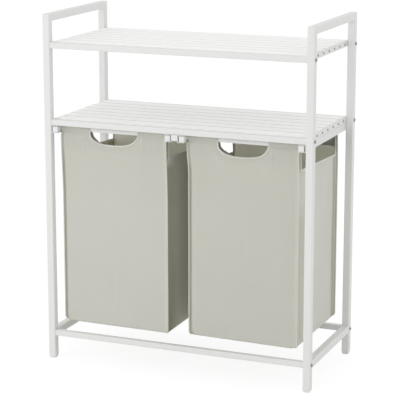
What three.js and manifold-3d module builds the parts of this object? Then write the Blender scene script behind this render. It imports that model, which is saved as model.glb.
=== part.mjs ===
// Laundry hamper: a bolted rack of square steel tube with two slatted shelves,
// and two fabric bags that pull out to the front on channel runners.
// Millimetres. X to the right, -Y to the front, Z up. The origin is on the floor
// under the middle of the rack.

import * as THREE from 'three';
import { mergeVertices } from 'three/addons/utils/BufferGeometryUtils.js';
import Module from 'manifold-3d';

const wasm = await Module();
wasm.setup();

// Driving dimensions of the rack
const rackWidth = 717;
const rackDepth = 337;
const rackHeight = 900;
const footHeight = 10;
const frameTube = 19;
const frameWall = 1;
const railTube = 15;
const railWall = 1;
const tubeCorner = 2;
const lowerRailHeight = 69;
const topRailDrop = 79;
const shelfSpacing = 195.75;

// Clearances
const runningClearance = 0.3;
const cutOverrun = 5;

// Places that several pieces share
const topRailHeight = rackHeight - topRailDrop;
const middleRailHeight = topRailHeight - shelfSpacing;
const postInnerX = rackWidth / 2 - frameTube;
const postCentreX = rackWidth / 2 - frameTube / 2;
const postCentreY = rackDepth / 2 - frameTube / 2;
const postInnerY = rackDepth / 2 - frameTube;
const railInnerY = postCentreY - railTube / 2;
const railBottomZ = (railHeight) => railHeight - railTube / 2;
const railTopZ = (railHeight) => railHeight + railTube / 2;

const sides = [['left', -1], ['right', 1]];
const ends = [['front', -1], ['rear', 1]];
const railLevels = [['lower', lowerRailHeight], ['middle', middleRailHeight], ['top', topRailHeight]];
const shelfLevels = [['middle', middleRailHeight], ['top', topRailHeight]];

// Colours and finishes
const paintedSteel = new THREE.MeshStandardMaterial({ color: 0xeeeeec, roughness: 0.45, metalness: 0.1 });
const zincSteel = new THREE.MeshStandardMaterial({ color: 0xb4b4b2, roughness: 0.35, metalness: 0.8 });
const whitePlastic = new THREE.MeshStandardMaterial({ color: 0xf2f2f0, roughness: 0.4, metalness: 0 });
const paintedWood = new THREE.MeshStandardMaterial({ color: 0xf4f4f2, roughness: 0.55, metalness: 0 });
const bagFabric = new THREE.MeshStandardMaterial({ color: 0xc9c9bf, roughness: 0.95, metalness: 0 });

// Outlines

const arcSteps = 2;

// A closed outline from its corners, each [x, y, radius]. A corner with a radius
// becomes an arc that touches both of its edges.
function roundedOutline(corners, steps = arcSteps) {
  const points = [];
  corners.forEach(([x, y, radius = 0], index) => {
    const corner = new THREE.Vector2(x, y);
    if (radius === 0) {
      points.push(corner);
      return;
    }
    const before = new THREE.Vector2(...corners.at(index - 1)).sub(corner).normalize();
    const after = new THREE.Vector2(...corners[(index + 1) % corners.length]).sub(corner).normalize();
    const halfAngle = before.angleTo(after) / 2;
    const centre = before.clone().add(after).normalize()
      .multiplyScalar(radius / Math.sin(halfAngle)).add(corner);
    const start = before.multiplyScalar(radius / Math.tan(halfAngle)).add(corner);
    const turn = Math.sign(after.cross(new THREE.Vector2().subVectors(start, corner)));
    const sweep = turn * (Math.PI - 2 * halfAngle);
    for (let step = 0; step <= steps; step += 1) {
      points.push(start.clone().rotateAround(centre, sweep * step / steps));
    }
  });
  return points;
}

function rectangle(left, right, bottom, top, radius = 0) {
  return roundedOutline([
    [left, bottom, radius], [right, bottom, radius], [right, top, radius], [left, top, radius],
  ]);
}

function square(size, radius = 0) {
  return rectangle(-size / 2, size / 2, -size / 2, size / 2, radius);
}

// Prisms: an outline drawn across one axis and drawn out along it, from low to high

const alongX = new THREE.Matrix4().makeBasis(
  new THREE.Vector3(0, 1, 0), new THREE.Vector3(0, 0, 1), new THREE.Vector3(1, 0, 0));
const alongY = new THREE.Matrix4().makeBasis(
  new THREE.Vector3(1, 0, 0), new THREE.Vector3(0, 0, 1), new THREE.Vector3(0, -1, 0));
const alongZ = new THREE.Matrix4();

function shapeOf(outline, holes = []) {
  const shape = new THREE.Shape(outline);
  shape.holes = holes.map((hole) => new THREE.Path(hole));
  return shape;
}

function prism(shape, direction, low, high) {
  const geometry = new THREE.ExtrudeGeometry(shape, { depth: high - low, bevelEnabled: false });
  const start = direction === alongY ? -high : low;
  return geometry.translate(0, 0, start).applyMatrix4(direction);
}

// Solids for cutting and joining

const weldDistance = 0.0005;

function solid(geometry) {
  const bare = new THREE.BufferGeometry();
  bare.setAttribute('position', geometry.getAttribute('position'));
  bare.setIndex(geometry.getIndex());
  const welded = mergeVertices(bare, weldDistance);
  return new wasm.Manifold(new wasm.Mesh({
    numProp: 3,
    vertProperties: new Float32Array(welded.getAttribute('position').array),
    triVerts: new Uint32Array(welded.getIndex().array),
  }));
}

function solidPrism(outline, direction, low, high) {
  return solid(prism(shapeOf(outline), direction, low, high));
}

function geometryOf(body) {
  const { vertProperties, triVerts } = body.getMesh();
  const geometry = new THREE.BufferGeometry();
  geometry.setAttribute('position', new THREE.BufferAttribute(vertProperties, 3));
  geometry.setIndex(new THREE.BufferAttribute(triVerts, 1));
  const faceted = geometry.toNonIndexed();
  faceted.computeVertexNormals();
  return faceted;
}

function mesh(name, geometry, material, [x, y, z] = [0, 0, 0]) {
  const piece = new THREE.Mesh(geometry, material);
  piece.name = name;
  piece.position.set(x, y, z);
  return piece;
}

// Square tube with rounded edges and open ends, centred on its axis
function squareTube(size, wall, direction, low, high) {
  return prism(shapeOf(square(size, tubeCorner), [square(size - 2 * wall)]), direction, low, high);
}

// Side frames: two posts, the top rail and the lower rail in one welded piece,
// drawn as one outline across X. The tube's bore runs on through the corners.

const boltShank = 6;
const boltSides = 12;
const boltHoleClearance = 0.3;

function sideFrameOutline(inset, low) {
  const outerY = rackDepth / 2 - inset;
  const innerY = postInnerY + inset;
  const railLow = lowerRailHeight - frameTube / 2 + inset;
  return roundedOutline([
    [-outerY, low], [-innerY, low], [-innerY, railLow], [innerY, railLow],
    [innerY, low], [outerY, low], [outerY, rackHeight - inset], [-outerY, rackHeight - inset],
  ]);
}

function sideFrameWindow(inset) {
  const sideY = postInnerY + inset;
  const low = lowerRailHeight + frameTube / 2 - inset;
  return rectangle(-sideY, sideY, low, rackHeight - frameTube + inset);
}

// The tube's rounded edges come from a bevel that grows the outline back to full size
function sideFrameBody() {
  const outline = shapeOf(
    sideFrameOutline(tubeCorner, footHeight - cutOverrun), [sideFrameWindow(tubeCorner)]);
  const bevelled = new THREE.ExtrudeGeometry(outline, {
    depth: frameTube - 2 * tubeCorner,
    bevelThickness: tubeCorner,
    bevelSize: tubeCorner,
    bevelSegments: arcSteps,
  });
  return solid(bevelled.translate(0, 0, tubeCorner - frameTube / 2).applyMatrix4(alongX));
}

function boltHole(y, z) {
  const radius = boltShank / 2 + boltHoleClearance;
  const drill = new THREE.CylinderGeometry(radius, radius, frameTube + 2 * cutOverrun, boltSides);
  return solid(drill.rotateZ(-Math.PI / 2).translate(0, y, z));
}

function sideFrameGeometry() {
  const bore = solid(prism(
    shapeOf(sideFrameOutline(frameWall, footHeight - 2 * cutOverrun), [sideFrameWindow(frameWall)]),
    alongX, frameWall - frameTube / 2, frameTube / 2 - frameWall));
  const belowFeet = solidPrism(
    rectangle(-rackDepth, rackDepth, footHeight - rackHeight, footHeight), alongX, -frameTube, frameTube);
  let frame = sideFrameBody().subtract(bore).subtract(belowFeet);
  for (const [, height] of railLevels) {
    for (const [, end] of ends) {
      frame = frame.subtract(boltHole(end * postCentreY, height));
    }
  }
  return geometryOf(frame);
}

// Foot plugs: a tapered square foot under the post, with a stem up its bore

const footToe = 15;
const footChamfer = 1;
const footStem = 12;
const footStemTaper = 1;

// A square piece turned from a profile of [half width, height], closed on its axis
function squareTurned(profile) {
  const points = profile.map(([half, height]) => new THREE.Vector2(half * Math.SQRT2, height));
  return new THREE.LatheGeometry(points, 4, Math.PI / 4).rotateX(Math.PI / 2);
}

function footGeometry() {
  const stem = frameTube / 2 - frameWall - runningClearance;
  return squareTurned([
    [0, 0], [footToe / 2 - footChamfer, 0], [footToe / 2, footChamfer],
    [frameTube / 2, footHeight], [stem, footHeight],
    [stem, footHeight + footStem - footStemTaper],
    [stem - footStemTaper, footHeight + footStem], [0, footHeight + footStem],
  ]);
}

// Long rails: square tube between the posts, with an end plate that takes the bolt

const railEndPlate = 3;

function railGeometry() {
  const plate = (low) => solidPrism(square(railTube - railWall), alongX, low, low + railEndPlate);
  const radius = boltShank / 2 + boltHoleClearance;
  const drill = new THREE.CylinderGeometry(radius, radius, rackWidth, boltSides).rotateZ(-Math.PI / 2);
  return geometryOf(
    solid(squareTube(railTube, railWall, alongX, -postInnerX, postInnerX))
      .add(plate(-postInnerX)).add(plate(postInnerX - railEndPlate)).subtract(solid(drill)));
}

// Bolts: a domed head on the post's outer face and a shank through to the rail's end plate

const boltHead = 11;
const boltHeadHeight = 2.5;
const boltRim = 1;
const boltDomeSteps = 3;
const boltTip = 2;

function boltGeometry() {
  const reach = frameTube + railEndPlate + boltTip;
  const profile = [[0, -reach], [boltShank / 2, -reach], [boltShank / 2, 0], [boltHead / 2, 0]];
  for (let step = 0; step < boltDomeSteps; step += 1) {
    const angle = Math.PI / 2 * step / boltDomeSteps;
    const rise = (boltHeadHeight - boltRim) * Math.sin(angle);
    profile.push([boltHead / 2 * Math.cos(angle), boltRim + rise]);
  }
  profile.push([0, boltHeadHeight]);
  const points = profile.map(([radius, height]) => new THREE.Vector2(radius, height));
  return new THREE.LatheGeometry(points, boltSides).rotateZ(-Math.PI / 2);
}

// Shelves: slats along X between two flat end bars, which stand between the rails.
// Each slat is held by a screw through each end bar, and the heads stand proud of it.

const slatCount = 7;
const slatGap = 2.6;
const slatThickness = 16;
const slatRise = 1.5;
const slatEdge = 2;
const shelfEdgeGap = 3.5;
const endBarThickness = 3;
const endBarHeight = 15;
const endScrewHead = 6;
const endScrewTop = 4;
const endScrewRise = 1;
const endScrewDepth = 1.5;
const endScrewSides = 8;

const slatLength = 2 * (postInnerX - endBarThickness);
const slatPitch = (2 * (railInnerY - shelfEdgeGap) + slatGap) / slatCount;
const slatWidth = slatPitch - slatGap;
const slatY = (index) => (index - (slatCount - 1) / 2) * slatPitch;
const slatTopZ = (railHeight) => railTopZ(railHeight) + slatRise;

function slatGeometry() {
  const section = rectangle(
    -slatWidth / 2, slatWidth / 2, -slatThickness / 2, slatThickness / 2, slatEdge);
  return prism(shapeOf(section), alongX, -slatLength / 2, slatLength / 2);
}

function endBarGeometry(side) {
  const inner = Math.min(0, -side * endBarThickness);
  let bar = solidPrism(
    rectangle(-railInnerY, railInnerY, 0, endBarHeight), alongX, inner, inner + endBarThickness);
  for (let index = 0; index < slatCount; index += 1) {
    const head = new THREE.CylinderGeometry(
      endScrewTop / 2, endScrewHead / 2, endScrewRise + endScrewDepth, endScrewSides);
    head.translate(0, (endScrewRise - endScrewDepth) / 2, 0).rotateZ(-side * Math.PI / 2);
    bar = bar.add(solid(head.translate(0, slatY(index), endBarHeight / 2)));
  }
  return geometryOf(bar);
}

// Runners: channels under the lower shelf, open towards the bag, with a stop at the rear

const runnerHeight = 18.5;
const runnerLip = 19;
const runnerSheet = 1.25;
const runnerTopZ = railBottomZ(middleRailHeight);

// Channel section across Y with its web at x = 0 and its lips towards +X
function channelOutline() {
  const low = -runnerHeight;
  return [
    [0, low], [runnerLip, low], [runnerLip, low + runnerSheet], [runnerSheet, low + runnerSheet],
    [runnerSheet, -runnerSheet], [runnerLip, -runnerSheet], [runnerLip, 0], [0, 0],
  ].map(([x, z]) => new THREE.Vector2(x, z));
}

function channelSolid() {
  const halfLength = rackDepth / 2;
  const stop = solidPrism(
    rectangle(0, runnerLip, -runnerHeight, 0), alongY, halfLength - runnerSheet, halfLength);
  return solidPrism(channelOutline(), alongY, -halfLength, halfLength).add(stop);
}

// The centre runner's tube hangs under the rails and carries a channel on each side
function centreRunnerGeometry() {
  const channel = channelSolid();
  const tube = solid(squareTube(railTube, railWall, alongY, -rackDepth / 2, rackDepth / 2)
    .translate(0, 0, -railTube / 2));
  const frontWall = solidPrism(
    rectangle(-railTube / 2 + railWall / 2, railTube / 2 - railWall / 2, railWall / 2 - railTube, -railWall / 2),
    alongY, -rackDepth / 2, railWall - rackDepth / 2);
  const onRight = channel.translate([railTube / 2, 0, 0]);
  const onLeft = channel.mirror([1, 0, 0]).translate([-railTube / 2, 0, 0]);
  return geometryOf(tube.add(frontWall).add(onRight).add(onLeft));
}

function sideRunnerGeometry(side) {
  const channel = channelSolid();
  return geometryOf(side < 0 ? channel : channel.mirror([1, 0, 0]));
}

// Sliding frame of a bag: two slider tubes joined by two cross bars that plug into them.
// The bay between a side frame and the centre runner is symmetric about its own middle.

const sliderTube = 14.5;
const sliderWall = 1;
const sliderSideGap = 2.8;
const sliderRearGap = 8;
const capFlange = 2;
const capStem = 10;
const capCorner = 1;
const barTube = 10;
const barWall = 1;
const barDrop = 1;

const bayHalfWidth = (postInnerX - railTube / 2) / 2;
const bayCentreX = (postInnerX + railTube / 2) / 2;
const sliderCentreX = bayHalfWidth - runnerSheet - sliderSideGap - sliderTube / 2;
const sliderCentreZ = runnerTopZ - runnerHeight + runnerSheet + runningClearance + sliderTube / 2;
const sliderFrontY = -rackDepth / 2 + capFlange;
const sliderRearY = rackDepth / 2 - sliderRearGap;
const barCentreZ = sliderCentreZ + sliderTube / 2 - barDrop - barTube / 2;

// Bag: sewn from a front, a rear, two sides and a bottom, hung on the bars by sleeve hems

const bagSideClearance = 1.5;
const bagSetback = 18.5;
const bagRearSetback = 17;
const bagRailClearance = 23.5;
const bagFabricThickness = 1.5;
const bagPlanCorner = 4;
const bagLowerCorner = 8;
const sideOpeningDrop = 71;
const sideOpeningCorner = 5;
const handleWidth = 128;
const handleDepth = 42;
const handleFullness = 2.8;
const handleSteps = 24;

const bagWidth = 2 * (bayHalfWidth - runnerLip - bagSideClearance);
const bagFrontY = -rackDepth / 2 + bagSetback;
const bagRearY = rackDepth / 2 - bagRearSetback;
const sleeveSize = barTube + 2 * (runningClearance + bagFabricThickness);
const bagTopZ = barCentreZ + sleeveSize / 2;
const bagBottomZ = railTopZ(lowerRailHeight) + bagRailClearance;
const barCentresY = [bagFrontY + sleeveSize / 2, bagRearY - sleeveSize / 2];

function sliderGeometry(side) {
  const holeSize = barTube + 2 * runningClearance;
  let tube = solid(squareTube(sliderTube, sliderWall, alongY, sliderFrontY, sliderRearY));
  for (const barY of barCentresY) {
    const hole = solidPrism(square(holeSize), alongX, 0, sliderTube);
    const toBar = side < 0 ? hole : hole.mirror([1, 0, 0]);
    tube = tube.subtract(toBar.translate([0, barY, barCentreZ - sliderCentreZ]));
  }
  return geometryOf(tube);
}

function capGeometry() {
  const stem = sliderTube / 2 - sliderWall - runningClearance;
  const half = sliderTube / 2;
  return squareTurned([
    [0, -capStem], [stem - capCorner, -capStem], [stem, capCorner - capStem], [stem, 0],
    [half, 0], [half, capFlange - capCorner], [half - capCorner, capFlange], [0, capFlange],
  ]).rotateX(Math.PI / 2);
}

function crossBarGeometry() {
  const reach = sliderCentreX + sliderTube / 2 - sliderWall - runningClearance;
  return squareTube(barTube, barWall, alongX, -reach, reach);
}

// The bag's outside, or its inside when inset by the fabric: rounded in plan, with
// rounded lower edges across the front and across the sides
function bagBlock(inset, topZ) {
  const halfX = bagWidth / 2 - inset;
  const frontY = bagFrontY + inset;
  const rearY = bagRearY - inset;
  const bottomZ = bagBottomZ + inset;
  const planRadius = bagPlanCorner - inset;
  const lowerRadius = bagLowerCorner - inset;
  const plan = solidPrism(rectangle(-halfX, halfX, frontY, rearY, planRadius), alongZ, bottomZ, topZ);
  const across = (low, high) => roundedOutline([
    [low, bottomZ, lowerRadius], [high, bottomZ, lowerRadius], [high, topZ], [low, topZ],
  ]);
  return plan
    .intersect(solidPrism(across(-halfX, halfX), alongY, frontY, rearY))
    .intersect(solidPrism(across(frontY, rearY), alongX, -halfX, halfX));
}

// Half moon below the bag's top edge, fuller at its corners than an ellipse, as its
// fullness is above two, and closed well above the edge
function handleOutline() {
  const bulge = (share) => Math.sign(share) * Math.abs(share) ** (2 / handleFullness);
  const points = [];
  for (let step = 0; step <= handleSteps; step += 1) {
    const angle = Math.PI * (1 + step / handleSteps);
    points.push(new THREE.Vector2(
      handleWidth / 2 * bulge(Math.cos(angle)), bagTopZ + handleDepth * bulge(Math.sin(angle))));
  }
  points.push(new THREE.Vector2(handleWidth / 2, bagTopZ + cutOverrun));
  points.push(new THREE.Vector2(-handleWidth / 2, bagTopZ + cutOverrun));
  return points;
}

function sleeve(barY) {
  const low = barY - sleeveSize / 2;
  const half = bagWidth / 2 - bagPlanCorner;
  return solidPrism(rectangle(low, low + sleeveSize, bagTopZ - sleeveSize, bagTopZ), alongX, -half, half);
}

function bagGeometry() {
  const [openFrontY, openRearY] = [barCentresY[0] + sleeveSize / 2, barCentresY[1] - sleeveSize / 2];
  const openLowZ = bagTopZ - sideOpeningDrop;
  const sideOpening = solidPrism(
    roundedOutline([
      [openFrontY, openLowZ, sideOpeningCorner], [openRearY, openLowZ, sideOpeningCorner],
      [openRearY, bagTopZ + cutOverrun], [openFrontY, bagTopZ + cutOverrun],
    ]),
    alongX, -bagWidth, bagWidth);
  const handle = solidPrism(
    handleOutline(), alongY, bagFrontY - cutOverrun, openFrontY + cutOverrun);
  let bag = bagBlock(0, bagTopZ)
    .subtract(bagBlock(bagFabricThickness, bagTopZ + cutOverrun))
    .subtract(sideOpening);
  for (const barY of barCentresY) {
    const bore = solidPrism(
      square(sleeveSize - 2 * bagFabricThickness), alongX, -bagWidth, bagWidth);
    bag = bag.add(sleeve(barY)).subtract(bore.translate([0, barY, barCentreZ]));
  }
  return geometryOf(bag.subtract(handle));
}

// Assembly

function rackFrame() {
  const rack = new THREE.Group();
  const rail = railGeometry();
  for (const [level, height] of railLevels) {
    for (const [endName, end] of ends) {
      rack.add(mesh(`${level}_rail_${endName}`, rail, paintedSteel, [0, end * postCentreY, height]));
    }
  }
  for (const [sideName, side] of sides) {
    rack.add(mesh(`side_frame_${sideName}`, sideFrameGeometry(), paintedSteel, [side * postCentreX, 0, 0]));
    for (const [endName, end] of ends) {
      const place = [side * postCentreX, end * postCentreY, 0];
      rack.add(mesh(`foot_${sideName}_${endName}`, footGeometry(), whitePlastic, place));
      for (const [level, height] of railLevels) {
        const bolt = mesh(`bolt_${sideName}_${level}_${endName}`, boltGeometry(), zincSteel,
          [side * rackWidth / 2, end * postCentreY, height]);
        bolt.rotation.z = side < 0 ? Math.PI : 0;
        rack.add(bolt);
      }
    }
  }
  return rack;
}

function shelf(level, railHeight) {
  const boards = new THREE.Group();
  const topZ = slatTopZ(railHeight);
  for (let index = 0; index < slatCount; index += 1) {
    boards.add(mesh(`${level}_slat_${index + 1}`, slatGeometry(), paintedWood,
      [0, slatY(index), topZ - slatThickness / 2]));
  }
  for (const [sideName, side] of sides) {
    boards.add(mesh(`${level}_end_bar_${sideName}`, endBarGeometry(side), paintedSteel,
      [side * postInnerX, 0, topZ - slatThickness]));
  }
  return boards;
}

function runners() {
  const group = new THREE.Group();
  for (const [sideName, side] of sides) {
    group.add(mesh(`runner_${sideName}`, sideRunnerGeometry(side), paintedSteel, [side * postInnerX, 0, runnerTopZ]));
  }
  group.add(mesh('runner_centre', centreRunnerGeometry(), paintedSteel, [0, 0, runnerTopZ]));
  return group;
}

function slidingBag(sideName, side) {
  const unit = new THREE.Group();
  unit.position.x = side * bayCentreX;
  for (const [placeName, place] of [['outer', side], ['inner', -side]]) {
    const x = place * sliderCentreX;
    unit.add(mesh(`${sideName}_slider_${placeName}`, sliderGeometry(place), paintedSteel, [x, 0, sliderCentreZ]));
    unit.add(mesh(`${sideName}_cap_${placeName}`, capGeometry(), whitePlastic, [x, sliderFrontY, sliderCentreZ]));
  }
  ends.forEach(([endName], index) => {
    unit.add(mesh(`${sideName}_bar_${endName}`, crossBarGeometry(), paintedSteel,
      [0, barCentresY[index], barCentreZ]));
  });
  unit.add(mesh(`${sideName}_bag`, bagGeometry(), bagFabric));
  return unit;
}

const hamper = new THREE.Group();
hamper.add(rackFrame(), runners());
for (const [level, height] of shelfLevels) {
  hamper.add(shelf(level, height));
}
for (const [sideName, side] of sides) {
  hamper.add(slidingBag(sideName, side));
}

export default hamper;
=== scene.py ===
# Laundry hamper with two pull-out fabric bags: its finishes, its bags and its small
# fasteners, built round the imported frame. Metres, X to the right, -Y to the front, Z up.
import math

import bpy
import numpy as np
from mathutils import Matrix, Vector


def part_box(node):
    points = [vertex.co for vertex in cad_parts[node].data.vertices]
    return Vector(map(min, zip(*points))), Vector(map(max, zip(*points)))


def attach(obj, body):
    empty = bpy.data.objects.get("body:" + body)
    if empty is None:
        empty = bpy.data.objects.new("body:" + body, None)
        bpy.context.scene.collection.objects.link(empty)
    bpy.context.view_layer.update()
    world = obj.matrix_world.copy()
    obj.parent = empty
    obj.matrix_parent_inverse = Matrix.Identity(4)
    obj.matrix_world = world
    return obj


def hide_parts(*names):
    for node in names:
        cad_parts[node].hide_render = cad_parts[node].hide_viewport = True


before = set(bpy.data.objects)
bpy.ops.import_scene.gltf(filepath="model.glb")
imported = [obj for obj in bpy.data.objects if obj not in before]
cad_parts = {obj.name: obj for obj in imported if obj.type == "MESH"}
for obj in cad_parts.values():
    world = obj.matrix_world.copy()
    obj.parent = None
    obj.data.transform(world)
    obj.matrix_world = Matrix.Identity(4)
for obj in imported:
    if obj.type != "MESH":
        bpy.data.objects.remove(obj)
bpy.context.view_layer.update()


# Camera.
# It stands to the right of the middle and above the top rail, and looks down at
# the middle of the rack, with a long lens.
camera_place = Vector((1.527, -3.702, 1.355))
camera_yaw, camera_pitch = 22.36, 12.31
camera_lens, camera_sensor = 143.9, 36.0
camera_shift_x, camera_shift_y = -0.0048, -0.06

camera_data = bpy.data.cameras.new("camera")
camera_data.lens, camera_data.sensor_width = camera_lens, camera_sensor
camera_data.shift_x, camera_data.shift_y = camera_shift_x, camera_shift_y
camera = bpy.data.objects.new("camera", camera_data)
camera.location = camera_place
camera.rotation_euler = (math.radians(90 - camera_pitch), 0, math.radians(camera_yaw))
bpy.context.scene.collection.objects.link(camera)
bpy.context.scene.camera = camera


# Studio.
# A white floor that keeps the rack's shadow, an even white surround, and two broad
# soft lamps: a strong low one to the left, and a weaker one high up in front.
floor_half, floor_drop = 12.0, 0.0002
floor_colour, floor_own_white, floor_white_strength = (0.93, 0.93, 0.93, 1), 0.82, 1.06
surround_strength, backdrop_strength = 0.90, 1.0
lamps = [
    ("key", (-3.1, -2.3, 0.90), 1.5, 16.0),
    ("upper", (-1.4, -3.2, 2.6), 2.4, 9.0),
]
lamp_target = Vector((0, 0, 0.45))

bpy.context.scene.view_settings.view_transform = "Standard"

floor_mesh = bpy.data.meshes.new("floor")
corners = [(x * floor_half, y * floor_half, -floor_drop) for x, y in ((-1, -1), (1, -1), (1, 1), (-1, 1))]
floor_mesh.from_pydata(corners, [], [(0, 1, 2, 3)])
floor = bpy.data.objects.new("floor", floor_mesh)
bpy.context.scene.collection.objects.link(floor)

floor_finish = bpy.data.materials.new("floor")
floor_finish.use_nodes = True
nodes, links = floor_finish.node_tree.nodes, floor_finish.node_tree.links
nodes.clear()
matt = nodes.new("ShaderNodeBsdfDiffuse")
matt.inputs["Color"].default_value = floor_colour
white = nodes.new("ShaderNodeEmission")
white.inputs["Strength"].default_value = floor_white_strength
seen = nodes.new("ShaderNodeLightPath")
share = nodes.new("ShaderNodeMath")
share.operation = "MULTIPLY"
share.inputs[1].default_value = floor_own_white
links.new(seen.outputs["Is Camera Ray"], share.inputs[0])
both = nodes.new("ShaderNodeMixShader")
links.new(share.outputs[0], both.inputs[0])
links.new(matt.outputs[0], both.inputs[1])
links.new(white.outputs[0], both.inputs[2])
links.new(both.outputs[0], nodes.new("ShaderNodeOutputMaterial").inputs["Surface"])
floor_mesh.materials.append(floor_finish)

world = bpy.data.worlds.new("surround")
world.use_nodes = True
nodes, links = world.node_tree.nodes, world.node_tree.links
nodes.clear()
around, backdrop = (nodes.new("ShaderNodeBackground") for _ in range(2))
for sky, strength in ((around, surround_strength), (backdrop, backdrop_strength)):
    sky.inputs["Color"].default_value = (1, 1, 1, 1)
    sky.inputs["Strength"].default_value = strength
seen = nodes.new("ShaderNodeLightPath")
both = nodes.new("ShaderNodeMixShader")
links.new(seen.outputs["Is Camera Ray"], both.inputs[0])
links.new(around.outputs[0], both.inputs[1])
links.new(backdrop.outputs[0], both.inputs[2])
links.new(both.outputs[0], nodes.new("ShaderNodeOutputWorld").inputs["Surface"])
bpy.context.scene.world = world

for lamp_name, place, size, power in lamps:
    lamp_data = bpy.data.lights.new(lamp_name, "AREA")
    lamp_data.shape, lamp_data.size, lamp_data.energy = "DISK", size, power
    lamp = bpy.data.objects.new(lamp_name, lamp_data)
    lamp.location = place
    lamp.rotation_euler = (lamp_target - lamp.location).to_track_quat("-Z", "Y").to_euler()
    bpy.context.scene.collection.objects.link(lamp)


# Steel rack, runners and sliding frames.
# Square mild-steel tube and folded channel, welded into side frames, sprayed with
# white powder and baked. The coat is satin, with a faint orange peel.
steel_coat = {"colour": (0.78, 0.78, 0.77, 1), "roughness": 0.42, "mottle": 0.012, "mottle_scale": 9.0,
              "skin_scale": 900.0, "skin_depth": 0.00001, "skin_strength": 0.15}
coat_mottle_detail, coat_skin_detail = 3.0, 2.0
coat_colour_drift, coat_roughness_drift = 2.0, -4.0


def shader_group(name, inputs, outputs):
    """An empty node group with named inputs (name, socket type, value) and outputs (name, socket type)."""
    group = bpy.data.node_groups.new(name, "ShaderNodeTree")
    for socket_name, kind, value in inputs:
        group.interface.new_socket(socket_name, in_out="INPUT", socket_type=kind).default_value = value
    for socket_name, kind in outputs:
        group.interface.new_socket(socket_name, in_out="OUTPUT", socket_type=kind)
    return group, group.nodes.new("NodeGroupInput"), group.nodes.new("NodeGroupOutput")


def number(tree, operation, *values, kind="ShaderNodeMath"):
    """A Math node: each value is a number or a socket that feeds it."""
    node = tree.nodes.new(kind)
    node.operation = operation
    for socket, value in zip(node.inputs, values):
        if isinstance(value, bpy.types.NodeSocket):
            tree.links.new(value, socket)
        else:
            socket.default_value = value
    return node.outputs[0]


def vector(tree, operation, *values):
    """A Vector Math node: each value is a vector or a socket that feeds it."""
    return number(tree, operation, *values, kind="ShaderNodeVectorMath")


def noise(tree, place, scale, detail):
    """A Noise Texture on the given coordinates, as a value around a half."""
    node = tree.nodes.new("ShaderNodeTexNoise")
    node.inputs["Detail"].default_value = detail
    tree.links.new(place, node.inputs["Vector"])
    if isinstance(scale, bpy.types.NodeSocket):
        tree.links.new(scale, node.inputs["Scale"])
    else:
        node.inputs["Scale"].default_value = scale
    return node.outputs["Fac"]


def shaded(tree, colour, factor):
    """The colour times a factor."""
    node = tree.nodes.new("ShaderNodeVectorMath")
    node.operation = "SCALE"
    for socket, value in ((node.inputs[0], colour), (node.inputs["Scale"], factor)):
        tree.links.new(value, socket)
    return node.outputs[0]


def make_coat_group():
    """A coat's colour and roughness drift with a broad noise, and a fine noise gives its skin."""
    group, given, made = shader_group(
        "coat",
        [("Vector", "NodeSocketVector", (0, 0, 0)), ("Colour", "NodeSocketColor", (1, 1, 1, 1)),
         ("Roughness", "NodeSocketFloat", 0.5), ("Mottle", "NodeSocketFloat", 0.01),
         ("Mottle Scale", "NodeSocketFloat", 10.0), ("Skin Scale", "NodeSocketFloat", 900.0)],
        [("Colour", "NodeSocketColor"), ("Roughness", "NodeSocketFloat"), ("Height", "NodeSocketFloat")])
    broad = noise(group, given.outputs["Vector"], given.outputs["Mottle Scale"], coat_mottle_detail)
    skin = noise(group, given.outputs["Vector"], given.outputs["Skin Scale"], coat_skin_detail)
    drift = number(group, "MULTIPLY", number(group, "SUBTRACT", broad, 0.5), given.outputs["Mottle"])
    lit = number(group, "MULTIPLY_ADD", drift, coat_colour_drift, 1.0)
    rough = number(group, "MULTIPLY_ADD", drift, coat_roughness_drift, given.outputs["Roughness"])
    group.links.new(shaded(group, given.outputs["Colour"], lit), made.inputs["Colour"])
    group.links.new(rough, made.inputs["Roughness"])
    group.links.new(skin, made.inputs["Height"])
    return group


coat_group = make_coat_group()


def principled(name):
    """A material with a Principled BSDF, returned with its tree and shader."""
    finish = bpy.data.materials.new(name)
    finish.use_nodes = True
    return finish, finish.node_tree, finish.node_tree.nodes["Principled BSDF"]


def bump(tree, shader, height, depth, strength):
    """Feeds a height through a Bump node into the shader's Normal."""
    node = tree.nodes.new("ShaderNodeBump")
    node.inputs["Distance"].default_value = depth
    node.inputs["Strength"].default_value = strength
    tree.links.new(height, node.inputs["Height"])
    tree.links.new(node.outputs[0], shader.inputs["Normal"])


def object_place(tree, scale=(1, 1, 1)):
    """Object coordinates, stretched by a Mapping node."""
    place = tree.nodes.new("ShaderNodeTexCoord")
    mapping = tree.nodes.new("ShaderNodeMapping")
    mapping.inputs["Scale"].default_value = scale
    tree.links.new(place.outputs["Object"], mapping.inputs["Vector"])
    return mapping.outputs[0]


def coated(name, colour, roughness, mottle, mottle_scale, skin_scale, skin_depth, skin_strength):
    """A coated or moulded surface: the coat group on Object coordinates in a Principled BSDF."""
    finish, tree, shader = principled(name)
    coat = tree.nodes.new("ShaderNodeGroup")
    coat.node_tree = coat_group
    tree.links.new(object_place(tree), coat.inputs["Vector"])
    for socket, value in (("Colour", colour), ("Roughness", roughness), ("Mottle", mottle),
                          ("Mottle Scale", mottle_scale), ("Skin Scale", skin_scale)):
        coat.inputs[socket].default_value = value
    tree.links.new(coat.outputs["Colour"], shader.inputs["Base Color"])
    tree.links.new(coat.outputs["Roughness"], shader.inputs["Roughness"])
    bump(tree, shader, coat.outputs["Height"], skin_depth, skin_strength)
    return finish


def finish_node(name, finish):
    """Gives a CAD node's object one material."""
    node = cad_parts[name]
    node.data.materials.clear()
    node.data.materials.append(finish)


steel = coated("white_powder_coat", **steel_coat)
steel_words = ("side_frame", "_rail_", "runner", "_slider_", "_bar_")
for node_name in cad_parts:
    if any(word in node_name for word in steel_words):
        finish_node(node_name, steel)


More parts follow.
